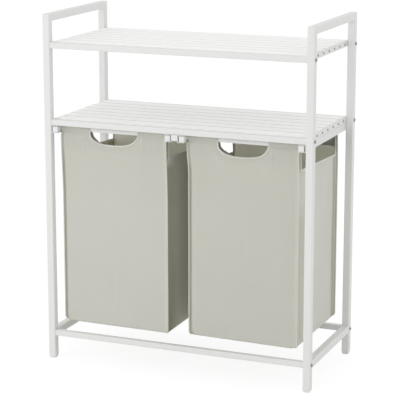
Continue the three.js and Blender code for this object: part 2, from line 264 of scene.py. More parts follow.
# Foot plugs and slider caps.
# Injection-moulded white plastic, pushed into the open tube ends.
plastic_coat = {"colour": (0.80, 0.80, 0.79, 1), "roughness": 0.38, "mottle": 0.01, "mottle_scale": 30.0,
                "skin_scale": 2500.0, "skin_depth": 0.00001, "skin_strength": 0.2}

plastic = coated("white_plastic", **plastic_coat)
for node_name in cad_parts:
    if node_name.startswith("foot_") or "_cap_" in node_name:
        finish_node(node_name, plastic)


# Shelf slats.
# Planed softwood boards with eased edges, sprayed white, so that the grain shows
# only as a faint relief along each board. Beside the narrow gaps the boards carry painted shade.
slat_colour, slat_roughness, slat_roughness_range = (0.975, 0.975, 0.965, 1), 0.5, 0.12
# Painted shade beside each gap between the boards: its strength, and how far it reaches.
slat_gap_shade, slat_gap_reach = 0.38, 0.0042
slat_grain_scale, slat_grain_detail, slat_grain_stretch = 14.0, 5.0, (0.25, 20.0, 20.0)
slat_grain_shade, slat_grain_depth, slat_grain_strength = 0.03, 0.00005, 0.15

painted_wood, tree, shader = principled("white_painted_wood")
grain = noise(tree, object_place(tree, slat_grain_stretch), slat_grain_scale, slat_grain_detail)
base = tree.nodes.new("ShaderNodeRGB")
base.outputs[0].default_value = slat_colour
lit = number(tree, "MULTIPLY_ADD", number(tree, "SUBTRACT", grain, 0.5), slat_grain_shade, 1.0)
slat_edges = [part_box(f"top_slat_{index}")[end].y for index, end in ((1, 1), (2, 0), (2, 1), (3, 0))]
gap_middle, slat_pitch = sum(slat_edges[:2]) / 2, (sum(slat_edges[2:]) - sum(slat_edges[:2])) / 2
across = tree.nodes.new("ShaderNodeSeparateXYZ")
tree.links.new(object_place(tree), across.inputs[0])
# Painted shade: each board darkens within the reach of a gap, but not at the front board's front edge.
from_gap = number(tree, "PINGPONG", number(tree, "SUBTRACT", across.outputs["Y"], gap_middle), slat_pitch / 2)
reached = number(tree, "DIVIDE", from_gap, slat_gap_reach)
in_gap = number(tree, "MAXIMUM", number(tree, "SUBTRACT", 1.0, reached), 0.0)
behind_first = number(tree, "GREATER_THAN", across.outputs["Y"], gap_middle - slat_pitch / 2)
in_gap = number(tree, "MULTIPLY", in_gap, behind_first)
unshaded = number(tree, "SUBTRACT", 1.0, number(tree, "MULTIPLY", in_gap, slat_gap_shade))
lit = number(tree, "MULTIPLY", lit, unshaded)
tree.links.new(shaded(tree, base.outputs[0], lit), shader.inputs["Base Color"])
rough = number(tree, "MULTIPLY_ADD", grain, slat_roughness_range, slat_roughness - slat_roughness_range / 2)
tree.links.new(rough, shader.inputs["Roughness"])
bump(tree, shader, grain, slat_grain_depth, slat_grain_strength)
for node_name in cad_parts:
    if "_slat_" in node_name:
        finish_node(node_name, painted_wood)


# Bolts and shelf screws.
# Zinc-plated steel. The bolts have a domed head with a hexagon socket and hold the
# long rails, and the screws have a cross recess and hold the slats to the end bars.
zinc_coat = {"colour": (0.40, 0.40, 0.39, 1), "roughness": 0.38, "mottle": 0.06, "mottle_scale": 220.0,
             "skin_scale": 3000.0, "skin_depth": 0.00001, "skin_strength": 0.3}
zinc_metal = 0.85
head_sides, head_rim_share, dome_degrees, dome_rings = 36, 0.3, 62, 5
socket_land_share, socket_centre, head_edge_degrees = 1.25, 0.00001, 35
bolt_radius, bolt_rise, bolt_socket, bolt_socket_depth = 0.0047, 0.0030, 0.0020, 0.0018
screw_radius, screw_rise, screw_socket, screw_socket_depth = 0.0028, 0.0014, 0.0020, 0.0008
cross_core, cross_narrowing = 0.38, 5
bolt_seat_depth, screw_seat_depth = 0.0025, 0.001

zinc = coated("zinc_plate", **zinc_coat)
zinc.node_tree.nodes["Principled BSDF"].inputs["Metallic"].default_value = zinc_metal


def mesh_piece(name, points, faces, finish, body, uv=None, lost=None):
    """An object at the origin from an array of points and an array or list of faces, riding on a
    body. Cloth also gets the lengths of its UV map and the share of painted shade at each point."""
    mesh = bpy.data.meshes.new(name)
    mesh.from_pydata(np.asarray(points).reshape(-1, 3).tolist(), [], [list(map(int, face)) for face in faces])
    if uv is not None:
        corner_point = np.empty(len(mesh.loops), np.int32)
        mesh.loops.foreach_get("vertex_index", corner_point)
        layer = mesh.uv_layers.new(name="cloth")
        layer.data.foreach_set("uv", np.asarray(uv).reshape(-1, 2)[corner_point].astype(np.float32).ravel())
    if lost is not None:
        layer = mesh.attributes.new("painted_shade", "FLOAT", "POINT")
        layer.data.foreach_set("value", np.asarray(lost, np.float32).ravel())
    mesh.polygons.foreach_set("use_smooth", np.ones(len(mesh.polygons), bool))
    mesh.materials.append(finish)
    mesh.update()
    piece = bpy.data.objects.new(name, mesh)
    bpy.context.scene.collection.objects.link(piece)
    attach(piece, body)
    return piece


def grid_faces(rows, columns, closed=False):
    """Quads of a rows by columns grid of points, joined round its columns if closed."""
    row, column = np.mgrid[0:rows - 1, 0:columns if closed else columns - 1]
    after = (column + 1) % columns
    return np.stack([row * columns + column, row * columns + after,
                     (row + 1) * columns + after, (row + 1) * columns + column], -1).reshape(-1, 4)


def repeated(faces, point_count, copies):
    """The quads of like pieces in one mesh, where each piece's points follow the last one's."""
    first_points = np.arange(copies) * point_count
    return (faces[None] + first_points[:, None, None]).reshape(-1, 4)


def hexagon(angle):
    """Reach of a hexagon of unit flat-to-centre distance."""
    sector = math.pi / 3
    return 1 / np.cos((angle + sector / 2) % sector - sector / 2)


def cross(angle):
    """Reach of a four-armed recess of unit arm, narrow between its arms."""
    return cross_core + (1 - cross_core) * np.abs(np.cos(2 * angle)) ** cross_narrowing


def fastener_head(radius, rise, recess, recess_reach, recess_depth):
    """Points and faces of a head turned about +X: rings up the dome, then the recess's outline
    at the top and at its floor, closed in the middle."""
    angle = np.arange(head_sides) * (2 * math.pi / head_sides)
    dome = np.linspace(0, math.radians(dome_degrees), dome_rings)
    rim = head_rim_share * rise
    rings = [(np.full(head_sides, radius), 0.0), (np.full(head_sides, radius), rim)]
    rings += [(np.full(head_sides, radius * math.cos(a)), rim + (rise - rim) * math.sin(a)) for a in dome[1:]]
    rings += [(np.full(head_sides, recess_reach * socket_land_share), rise)]
    rings += [(recess_reach * recess(angle), rise), (recess_reach * recess(angle), rise - recess_depth)]
    rings += [(np.full(head_sides, socket_centre), rise - recess_depth)]
    points = np.array([
        np.stack([np.full(head_sides, height), reach * np.cos(angle), reach * np.sin(angle)], -1)
        for reach, height in rings])
    return points.reshape(-1, 3), grid_faces(len(rings), head_sides, closed=True)[:, ::-1]


def head_finish(piece):
    """Crisp edges where a head's faces meet at more than an angle."""
    piece.data.set_sharp_from_angle(angle=math.radians(head_edge_degrees))


bolt_points, bolt_faces = fastener_head(bolt_radius, bolt_rise, hexagon, bolt_socket, bolt_socket_depth)
for node_name in [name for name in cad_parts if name.startswith("bolt_")]:
    low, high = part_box(node_name)
    side = -1 if "_left_" in node_name else 1
    seat_x = side * (max(abs(low.x), abs(high.x)) - bolt_seat_depth)
    turned = bolt_points * [side, side, 1] + np.array([seat_x, (low.y + high.y) / 2, (low.z + high.z) / 2])
    head = mesh_piece(node_name.replace("bolt", "bolt_head"), turned, bolt_faces, zinc, "rack")
    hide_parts(node_name)
    head_finish(head)

screw_points, screw_faces = fastener_head(screw_radius, screw_rise, cross, screw_socket, screw_socket_depth)
for level in ("middle", "top"):
    slat_middles = [sum(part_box(f"{level}_slat_{index}")[k].y for k in (0, 1)) / 2 for index in range(1, 8)]
    for side_name, side in (("left", -1), ("right", 1)):
        low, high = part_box(f"{level}_end_bar_{side_name}")
        bar_face = (high.x if side > 0 else -low.x) - screw_seat_depth
        seats = np.array([[side * bar_face, y, (low.z + high.z) / 2] for y in slat_middles])
        points = (screw_points * [side, side, 1])[None] + seats[:, None]
        faces = repeated(screw_faces, len(screw_points), len(seats))
        heads = mesh_piece(f"{level}_end_bar_screws_{side_name}", points, faces, zinc, "rack")
        head_finish(heads)


# Bag cloth.
# Woven polyester with a coated back, pale grey-beige, with a lighter cotton tape and
# thread at its edges. The weave follows the cloth, in each sheet's own lengths.
cloth_colour, cloth_roughness = (0.635, 0.63, 0.556, 1), 0.92
cloth_glow, cloth_glow_reach, cloth_glow_scale = 0.66, (1.0, 0.985, 0.86), 0.007
tape_colour = (0.70, 0.695, 0.62, 1)
thread_coat = {"colour": (0.66, 0.655, 0.59, 1), "roughness": 0.8, "mottle": 0.03, "mottle_scale": 200.0,
               "skin_scale": 3000.0, "skin_depth": 0.00002, "skin_strength": 0.3}
weave_pitch, weave_depth, weave_strength = 0.0007, 0.00012, 0.3
slub_shade, slub_detail, slub_stretches = 0.05, 2.0, ((900.0, 25.0, 1.0), (25.0, 900.0, 1.0))
cloud_shade, cloud_scale, cloud_detail = 0.04, 6.0, 2.0
# Warm tint of the painted shade and light: blue falls more than red and green with their share.
shade_tint = (0.0, -0.015, -0.24)


def make_weave_group():
    """Plain weave: warp and weft are half sine ridges a thread wide, and the one on top changes
    from square to square. Slubs are noise drawn out along each thread."""
    group, given, made = shader_group(
        "weave",
        [("Vector", "NodeSocketVector", (0, 0, 0)), ("Pitch", "NodeSocketFloat", 0.0007),
         ("Colour", "NodeSocketColor", (1, 1, 1, 1)), ("Slub", "NodeSocketFloat", 0.05)],
        [("Colour", "NodeSocketColor"), ("Height", "NodeSocketFloat")])
    apart = group.nodes.new("ShaderNodeSeparateXYZ")
    group.links.new(given.outputs["Vector"], apart.inputs[0])
    ridges = []
    for axis in (0, 1):
        turns = number(group, "DIVIDE", apart.outputs[axis], given.outputs["Pitch"])
        ridges.append(number(group, "SINE", number(group, "MULTIPLY", turns, math.pi)))
    on_top = number(group, "GREATER_THAN", number(group, "MULTIPLY", *ridges), 0.0)
    warp, weft = (number(group, "ABSOLUTE", ridge) for ridge in ridges)
    blend = number(group, "MULTIPLY", on_top, number(group, "SUBTRACT", warp, weft))
    group.links.new(number(group, "ADD", weft, blend), made.inputs["Height"])
    slubs = [noise(group, vector(group, "MULTIPLY", given.outputs["Vector"], stretch), 1.0, slub_detail)
             for stretch in slub_stretches]
    slub = number(group, "SUBTRACT", number(group, "ADD", *slubs), 1.0)
    lit = number(group, "MULTIPLY_ADD", slub, given.outputs["Slub"], 1.0)
    group.links.new(shaded(group, given.outputs["Colour"], lit), made.inputs["Colour"])
    return group


weave_group = make_weave_group()


def woven(name, colour):
    """A cloth: the weave group on the piece's UV map, with a broad cloud of shade over it, and
    darker by the share of painted shade that each point carries, lighter where that share is
    negative (painted light). Blue falls with the size of that share, so the painted shade is warmer."""
    finish, tree, shader = principled(name)
    lengths = tree.nodes.new("ShaderNodeUVMap")
    lengths.uv_map = "cloth"
    weave = tree.nodes.new("ShaderNodeGroup")
    weave.node_tree = weave_group
    tree.links.new(lengths.outputs[0], weave.inputs["Vector"])
    for socket, value in (("Pitch", weave_pitch), ("Colour", colour), ("Slub", slub_shade)):
        weave.inputs[socket].default_value = value
    cloud = noise(tree, object_place(tree), cloud_scale, cloud_detail)
    lit = number(tree, "MULTIPLY_ADD", number(tree, "SUBTRACT", cloud, 0.5), cloud_shade, 1.0)
    # The per-point share of painted shade, negative where it is painted light.
    painted_shade = tree.nodes.new("ShaderNodeAttribute")
    painted_shade.attribute_name = "painted_shade"
    lost = painted_shade.outputs["Fac"]
    lit = number(tree, "MULTIPLY", lit, number(tree, "SUBTRACT", 1.0, lost))
    tint = vector(tree, "MULTIPLY_ADD", number(tree, "ABSOLUTE", lost), shade_tint, (1, 1, 1))
    tinted = vector(tree, "MULTIPLY", shaded(tree, weave.outputs["Colour"], lit), tint)
    tree.links.new(tinted, shader.inputs["Base Color"])
    shader.inputs["Roughness"].default_value = cloth_roughness
    shader.inputs["Subsurface Weight"].default_value = cloth_glow
    shader.inputs["Subsurface Radius"].default_value = cloth_glow_reach
    shader.inputs["Subsurface Scale"].default_value = cloth_glow_scale
    bump(tree, shader, weave.outputs["Height"], weave_depth, weave_strength)
    return finish


cloth = woven("bag_cloth", cloth_colour)
tape = woven("edge_tape", tape_colour)
thread = coated("sewing_thread", **thread_coat)


# Bag body.
# One sewn shell per bag: front, rear, sides and bottom. The front and rear turn the
# corners by a strip, the upper sides are open, and the front has a half-moon hand
# hole. It hangs from its sleeves, so its walls bow, dip beside the seams and crease.
# Lengths along the depth or the width run from the nearer corner, and heights from the floor.
cloth_thickness = 0.0015
corner_radius, lower_radius, wall_drop = 0.004, 0.008, 0.0146
strip_front, strip_rears, strip_corner = 0.0172, {-1: 0.0045, 1: 0.0200}, 0.004
hand_hole_half, hand_hole_depths, hand_hole_fullness = 0.0665, {"left": 0.0415, "right": 0.0445}, 2.8
# By bag, then by its left (-1) or right (1) side: height of the opening's foot in front and at the rear.
side_opening_lows = {"left": {-1: (0.543, 0.530), 1: (0.552, 0.541)},
                     "right": {-1: (0.535, 0.520), 1: (0.549, 0.538)}}
# By bag: at its left and at its right edge.
lower_edge_lift, lower_lift_power = {"left": (0.0010, -0.0012), "right": (0.0042, -0.0002)}, 3
corner_lifts, corner_lift_power = {"left": (0.0050, 0.0), "right": (0.0012, 0.0035)}, 6
corner_lift_width = 0.013
upper_leans = {"left": (-0.0034, -0.0030), "right": (-0.0044, -0.0012)}
lean_starts, lean_full, lean_kept = {"left": 0.430, "right": 0.518}, 0.590, 0.3
front_leans, rear_leans = {"left": (0.0012, 0.0013), "right": (0.0020, -0.0010)}, (0.0040, 0.0003)
front_swell, side_bow, bow_fullness = 0.0012, 0.0022, 0.8
edge_dip, edge_dip_place, edge_dip_width = 0.0016, 0.0052, 0.0028
rear_seam_places, rear_seam_depth, rear_seam_width = (0.0090, 0.0280), 0.0016, 0.0022
strip_tuck, strip_tuck_place, strip_tuck_width = 0.0026, 0.0062, 0.0022
strip_tuck_start, strip_tuck_full = 0.540, 0.560
facing_gap, facing_groove, facing_groove_width = 0.0075, 0.0006, 0.0016
hole_crease, hole_crease_gap, hole_crease_width = 0.0010, 0.018, 0.006
fold_depth, fold_length, fold_drop, fold_reach = 0.0011, 0.0105, 0.02, 0.030
fold_place, fold_width = 0.016, 0.012
# A ripple's depth, and its turns (in radians to the metre) along the plan and up the wall.
ripple, ripple_along, ripple_up, ripple_beat = 0.0006, 37, 6, 11
fine_ripple, fine_ripple_along, fine_ripple_up = 0.0003, 71, -19
ripple_phases, ripple_corner_fade = {"left": 0.0, "right": 2.1}, 0.03
bulge_foot_fade, bulge_top_fade = 0.03, 0.012
bottom_sag = 0.003
# Shares of painted shade in the cloth's colour, and of painted light where negative or lit. A front
# strip has its share, where that starts to fade and is gone along the depth, and the same up the
# height. The gap's painted light is placed from the bag's middle.
margin_shade, margin_width, margin_fade, margin_foot, lit_margin = 0.36, 0.0068, 0.0040, 0.008, 0.07
margin_top_share, margin_top_start, margin_top_end = 0.40, 0.515, 0.572
front_strip_shades = {"left": (0.45, 0.004, 0.080, 0.520, 0.550), "right": (0.14, 0.030, 0.100, 0.400, 0.480)}
gap_light, gap_light_place, gap_light_width = 0.12, -0.035, 0.06
gap_foot_shade, gap_foot_height = 0.21, 0.36
front_shades, front_shade_start, front_shade_end = {"left": (0.0, 0.05), "right": (0.035, 0.03)}, 0.380, 0.560
front_crease_shade, front_crease_place, front_crease_width = 0.75, 0.0072, 0.0030
rear_strip_shade, rear_strip_width, rear_strip_fade = 0.25, 0.036, 0.008
rear_line_shade, rear_line_width = 0.14, 0.0035
rear_top_shade, rear_top_width, rear_top_start, rear_top_end = 0.32, 0.030, 0.520, 0.570
# The grid: steps along the plan, fine near the corners, and rows of points up the wall.
fine_step, hand_step, coarse_step = 0.0016, 0.0030, 0.0075
fine_reach, hand_reach, fine_height = 0.032, 0.084, 0.515
bottom_shares, bottom_rows, edge_rows, wall_rows, upper_rows = (0.94, 0.03), 14, 6, 60, 32
# How squarely a place has to face outwards to count as flat, or as part of a wall.
flat_limit, wall_limit = 0.999, 0.7


def eased(value, start, end):
    """Rises from 0 at start to 1 at end, level at both."""
    share = np.clip((value - start) / (end - start), 0, 1)
    return share * share * (3 - 2 * share)


def bell(value, place, width):
    """A bell of unit height at a place."""
    return np.exp(-((value - place) / width) ** 2)


class Bag:
    """A bag's surface, as a map from a length along its plan and a height to a point."""

    def __init__(self, side_name):
        low, high = (np.array(corner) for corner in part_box(f"{side_name}_bag"))
        self.side_name, self.body_name = side_name, f"{side_name}_bin"
        self.middle = (low + high) / 2
        self.half_x, self.half_y = (high - low)[:2] / 2
        self.bottom, self.top = low[2], high[2]
        self.wall_top, self.foot = self.top - wall_drop, self.bottom + lower_radius
        self.phase, self.hole_depth = ripple_phases[side_name], hand_hole_depths[side_name]
        self.straight_x, self.straight_y = self.half_x - corner_radius, self.half_y - corner_radius
        bend = corner_radius * math.pi / 2
        lengths = [self.straight_x, bend, 2 * self.straight_y, bend, 2 * self.straight_x, bend,
                   2 * self.straight_y, bend, self.straight_x]
        self.stops = np.concatenate([[0], np.cumsum(lengths)])

    def plan(self, along):
        """Place and outward direction at a length along the plan, counted to the right from the
        middle of the front: straight runs, and a quarter circle at each corner."""
        along = np.mod(along, self.stops[-1])
        leg = np.clip(np.searchsorted(self.stops, along, side="right") - 1, 0, 8)
        into, in_bend = along - self.stops[leg], leg % 2
        heading = leg // 2 * (math.pi / 2) + in_bend * into / corner_radius
        out_x, out_y = np.sin(heading), -np.cos(heading)
        signs_x = np.array([0, 1, 1, 1, 1, -1, -1, -1, -1])
        signs_y = np.array([-1, -1, -1, 1, 1, 1, 1, -1, -1])
        x = signs_x[leg] * self.straight_x + np.where(in_bend, 0, -out_y * into) + corner_radius * out_x
        y = signs_y[leg] * self.straight_y + np.where(in_bend, 0, out_x * into) + corner_radius * out_y
        return x, y, out_x, out_y

    def on_side(self, side, y):
        """Length along the plan of a place on the right (1) or left (-1) side."""
        return self.stops[2] + self.straight_y + y if side > 0 else self.stops[6] + self.straight_y - y

    def hand_hole(self, x, height):
        """Distance outside the hand hole's edge, whose outline is half a superellipse."""
        power = hand_hole_fullness
        across, down = np.abs(x) / hand_hole_half, np.maximum(self.top - height, 0) / self.hole_depth
        reach = np.maximum((across ** power + down ** power), 1e-9) ** (1 / power)
        slope = np.hypot((across / reach) ** (power - 1) / hand_hole_half,
                         (down / reach) ** (power - 1) / self.hole_depth)
        return (reach - 1) / np.maximum(slope, 1)

    def side_opening(self, along, height):
        """Distance outside a side opening's edge: a box with a sloping foot and round lower corners."""
        x, y, out_x, _ = self.plan(along)
        front = -self.half_y + strip_front
        rear = self.half_y - np.where(x < 0, strip_rears[-1], strip_rears[1])
        share = np.clip((y - front) / (rear - front), 0, 1)
        lows = {side: a + share * (b - a) for side, (a, b) in side_opening_lows[self.side_name].items()}
        beyond_y = np.abs(y - (front + rear) / 2) - ((rear - front) / 2 - strip_corner)
        beyond_z = np.where(x < 0, lows[-1], lows[1]) + strip_corner - height
        inner = np.minimum(np.maximum(beyond_y, beyond_z), 0)
        outer = np.hypot(np.maximum(beyond_y, 0), np.maximum(beyond_z, 0))
        return np.where(np.abs(out_x) > flat_limit, outer + inner - strip_corner, 1.0)

    def opening(self, along, height):
        """Distance outside the nearest opening's edge."""
        x, _, _, out_y = self.plan(along)
        hand_hole = np.where(out_y < -flat_limit, self.hand_hole(x, height), 1.0)
        return np.minimum(self.side_opening(along, height), hand_hole)

    def lean(self, x, y, height):
        """Sideways shift: of the upper part, which the sliders push back at the top, and of each
        upright corner, from which the others are mixed by their shares of the width and depth."""
        first, last = upper_leans[self.side_name]
        upper = eased(height, lean_starts[self.side_name], lean_full)
        pushed = 1 - (1 - lean_kept) * eased(height, lean_full, self.wall_top)
        share_x, share_y = (x / self.half_x + 1) / 2, (y / self.half_y + 1) / 2
        starts, ends = ((1 - share_y) * front + share_y * rear
                        for front, rear in zip(front_leans[self.side_name], rear_leans))
        return (first + (last - first) * share_x) * upper * pushed + starts + (ends - starts) * share_x

    def bulge(self, along, height):
        """How far the cloth stands out of its plan: a swell in front and rear, a bow in the sides,
        a dip beside the left seams, a tuck in each side's front strip, two grooves at the rear
        seams, a groove and an arched crease round the hand hole, folds beside it, and a slow
        ripple, all of it less towards the wall's foot and top."""
        x, y, out_x, out_y = self.plan(along)
        across_x, across_y = x / self.half_x, y / self.half_y
        edge_x, edge_y = self.half_x - np.abs(x), self.half_y - np.abs(y)
        face, front, side = out_y ** 2, np.maximum(-out_y, 0) ** 2, out_x ** 2
        up = np.clip((height - self.foot) / (self.wall_top - self.foot), 0, 1)
        sway = np.sin(math.pi * up) ** bow_fullness
        out = face * (1 - across_x ** 2) * sway * front_swell - side * (1 - across_y ** 2) * sway * side_bow
        out -= face * (x < 0) * edge_dip * bell(edge_x, edge_dip_place, edge_dip_width)
        for place in rear_seam_places:
            out -= side * (y > 0) * rear_seam_depth * bell(edge_y, place, rear_seam_width)
        tuck = strip_tuck * eased(height, strip_tuck_start, strip_tuck_full)
        out -= side * (y < 0) * tuck * bell(edge_y, strip_tuck_place, strip_tuck_width)
        gap = self.hand_hole(x, height)
        out += front * (hole_crease * bell(gap, hole_crease_gap, hole_crease_width)
                        - facing_groove * bell(gap, facing_gap, facing_groove_width))
        beside = np.abs(x) - hand_hole_half
        folds = fold_depth * np.sin(beside * 2 * math.pi / fold_length + self.phase)
        folds *= bell(beside, fold_place, fold_width) * bell(height, self.wall_top - fold_drop, fold_reach)
        out += front * folds
        broad = np.sin(along * ripple_along + height * ripple_up + self.phase)
        broad *= ripple * np.sin(height * ripple_beat + self.phase * 2)
        fine = fine_ripple * np.sin(along * fine_ripple_along + height * fine_ripple_up + self.phase * 3)
        out += (broad + fine) * np.clip((edge_x + edge_y) / ripple_corner_fade, 0, 1)
        out *= eased(height, self.foot, self.foot + bulge_foot_fade)
        return out * (1 - eased(height, self.wall_top - bulge_top_fade, self.wall_top))

    def painted_front_shade(self, height):
        """Share of painted shade on the whole front, and more towards its top."""
        whole, upper = front_shades[self.side_name]
        return whole + upper * eased(height, front_shade_start, front_shade_end)

    def painted_shade(self, along, height):
        """Share of painted shade in the cloth's colour: beside the left front seam, less towards its top,
        in the strip behind the right front seam with a painted dark line in its crease, and at the rear
        seams, more at the right one's top. Beside the right front seam the edge has a painted highlight.
        The left bag's right side faces the gap between the bags, and has painted light in its middle and
        painted shade towards its foot."""
        x, y, out_x, out_y = self.plan(along)
        edge_x, edge_y = self.half_x - np.abs(x), self.half_y - np.abs(y)
        front, side = out_y < -wall_limit, np.abs(out_x) > wall_limit
        margin = margin_width + margin_foot * bell(height, self.bottom, margin_foot)
        shade = margin_shade * (1 - (1 - margin_top_share) * eased(height, margin_top_start, margin_top_end))
        lost = front * (1 - eased(edge_x, margin, margin + margin_fade)) * np.where(x < 0, shade, -lit_margin)
        lost += front * self.painted_front_shade(height)
        shade, start, end, fade_low, fade_high = front_strip_shades[self.side_name]
        below_fade = 1 - eased(height, fade_low, fade_high)
        lost += side * (y < 0) * (x > 0) * shade * (1 - eased(edge_y, start, end)) * below_fade
        # A painted dark line of shade along the crease in each side's front strip.
        crease = front_crease_shade * eased(height, strip_tuck_start, strip_tuck_full)
        lost += side * (y < 0) * crease * bell(edge_y, front_crease_place, front_crease_width)
        if self.side_name == "left":
            facing = (out_x > wall_limit) * below_fade
            lost -= facing * gap_light * bell(y, gap_light_place, gap_light_width)
            lost += facing * gap_foot_shade * (1 - eased(height, 0, gap_foot_height))
        rear = side * (y > 0)
        rear_strip = 1 - eased(edge_y, rear_strip_width, rear_strip_width + rear_strip_fade)
        lost += rear * rear_strip_shade * rear_strip
        rear_top = rear_top_shade * eased(height, rear_top_start, rear_top_end)
        lost += rear * (x > 0) * (edge_y < rear_top_width) * rear_top
        for place in rear_seam_places:
            lost += rear * rear_line_shade * bell(edge_y, place, rear_line_width)
        return lost

    def surface(self, along, height, out=0.0):
        """Points of the cloth's outer face, moved outwards by out. Below the wall's foot the height
        runs on round the lower edge and over the bottom towards its middle."""
        x, y, out_x, out_y = self.plan(along)
        below = np.maximum(self.foot - height, 0)
        bend = np.minimum(below / lower_radius, math.pi / 2)
        flat = np.maximum(below - lower_radius * math.pi / 2, 0)
        shrink = np.maximum(1 - (lower_radius * (1 - np.cos(bend)) + flat) / self.half_x, 0)
        z = np.where(below > 0, self.foot - (lower_radius + out) * np.sin(bend), height)
        moved = self.bulge(along, height) + out * np.cos(bend)
        first, last = lower_edge_lift[self.side_name]
        up = np.clip((height - self.foot) / (self.wall_top - self.foot), 0, 1)
        lift = (first + (last - first) * (x / self.half_x + 1) / 2) * (1 - up) ** lower_lift_power * shrink
        beside = np.where(x < 0, *corner_lifts[self.side_name])
        near_corner = 1 - eased(self.half_x - np.abs(x), 0, corner_lift_width)
        lift += beside * near_corner * (1 - up) ** corner_lift_power * shrink
        sag = -bottom_sag * (1 - shrink ** 2) * (flat > 0)
        return np.stack([self.middle[0] + x * shrink + out_x * moved + self.lean(x, y, height),
                         self.middle[1] + y * shrink + out_y * moved, z + lift + sag], -1)


def onto_edge(first, second, distance, small=0.0002, reach=0.006, least_slope=0.5, steps=4):
    """Moves places to where the distance is zero, by Newton steps along its slope."""
    for _ in range(steps):
        here = distance(first, second)
        slope_a = (distance(first + small, second) - distance(first - small, second)) / (2 * small)
        slope_b = (distance(first, second + small) - distance(first, second - small)) / (2 * small)
        step = np.clip(here / np.maximum(slope_a ** 2 + slope_b ** 2, least_slope ** 2), -reach, reach)
        first, second = first - step * slope_a, second - step * slope_b
    return first, second


def cut_sheet(first, second, distance, top, closed=False):
    """A sheet's grid of two parameters, cut where the distance is negative: the faces that stay,
    and the grid with the points at the cut drawn onto it, the second parameter up to its top."""
    faces = grid_faces(*first.shape, closed)
    apart = distance(first, second)
    kept = apart.ravel()[faces].mean(1) > 0
    is_kept, is_cut = np.zeros(apart.size, bool), np.zeros(apart.size, bool)
    is_kept[faces[kept].ravel()] = True
    is_cut[faces[~kept].ravel()] = True
    rim = (is_kept & is_cut).reshape(apart.shape)
    first, second = first.copy(), second.copy()
    first[rim], second[rim] = onto_edge(first[rim], second[rim], distance)
    second = np.minimum(second, top)
    used = np.flatnonzero(is_kept)
    renumber = np.full(apart.size, -1)
    renumber[used] = np.arange(len(used))
    return first, second, used, renumber, faces[kept]


def thicken(sheet, crisp_degrees=60):
    """Gives a sheet the cloth's thickness, inwards, with crisp cut edges."""
    wall = sheet.modifiers.new("cloth thickness", "SOLIDIFY")
    wall.thickness, wall.offset = cloth_thickness, -1
    sheet.modifiers.new("cut edges", "EDGE_SPLIT").split_angle = math.radians(crisp_degrees)


def bag_body(bag):
    """The shell: a grid of lengths along the plan by heights, fine at the corners and the hand hole.
    The lengths are where a count of steps, each as long as its place asks, is whole."""
    turns, trial_step = bag.stops[-1], fine_step / 4
    candidates = np.arange(0, turns, trial_step)
    nearest = np.min(np.abs(candidates[:, None] - bag.stops[None, 1:-1]), 1)
    from_middle = np.minimum(candidates, turns - candidates)
    face_pace = np.where(from_middle < hand_reach, hand_step, coarse_step)
    pace = np.where(nearest < fine_reach, fine_step, face_pace)
    gone = np.concatenate([[0], np.cumsum(trial_step / pace)])[:-1]
    count = int(gone[-1]) + 1
    along = np.interp(np.arange(count) * (gone[-1] + trial_step / fine_step) / count, gone, candidates)
    edge_run = lower_radius * math.pi / 2
    heights = np.concatenate([
        bag.foot - edge_run - (bag.half_x - lower_radius) * np.linspace(*bottom_shares, bottom_rows),
        bag.foot - edge_run * np.linspace(1, 0, edge_rows, endpoint=False),
        np.linspace(bag.foot, fine_height, wall_rows, endpoint=False),
        np.linspace(fine_height, bag.wall_top, upper_rows)])
    grid = np.meshgrid(along, heights)
    first, second, used, renumber, faces = cut_sheet(*grid, bag.opening, bag.wall_top, closed=True)
    points = bag.surface(first, second).reshape(-1, 3)[used]
    uv = np.stack([first, second], -1).reshape(-1, 2)[used]
    faces = [*renumber[faces].tolist(), renumber[np.arange(len(along))][::-1].tolist()]
    lost = bag.painted_shade(first, second).ravel()[used]
    body = mesh_piece(f"{bag.side_name}_bag_body", points, faces, cloth, bag.body_name, uv, lost)
    thicken(body)
    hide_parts(f"{bag.side_name}_bag")


bags = {side_name: Bag(side_name) for side_name in ("left", "right")}
for bag in bags.values():
    bag_body(bag)


# Bag sleeves.
# The front and rear walls run up over a steel cross bar and down its far side, where
# they are sewn to the wall, so that the bar carries the bag. The hand hole is cut
# through both layers of the front sleeve.
sleeve_end_gap, sleeve_bend, sleeve_slack, sleeve_step = 0.0005, 0.004, 0.0018, 0.0030
sleeve_loose_drop, sleeve_loose_share = 0.046, 0.9
sleeve_sewn_drop, sleeve_sewn_place = 0.060, 2.2 * cloth_thickness
# How far the back layer's hole stands above and below the front one's, and between which shares
# of its half width the height changes.
sleeve_hole_rises = {"left": (0.0030, -0.0070, -0.90, -0.35), "right": (0.0030, -0.0070, -0.75, 0.0)}
# Share of painted shade by bag and by front (-1) or rear (1) sleeve, once over the bar; a negative share is
# painted light.
sleeve_shades = {("left", -1): 0.30, ("left", 1): -0.22, ("right", -1): 0.30, ("right", 1): 0.06}
sleeve_shade_start, sleeve_shade_full = 1 / 4, 1 / 3


def lengths_along(path):
    """The length gone from a path's start at each of its points."""
    return np.concatenate([[0], np.cumsum(np.linalg.norm(np.diff(path, axis=0), axis=1))])


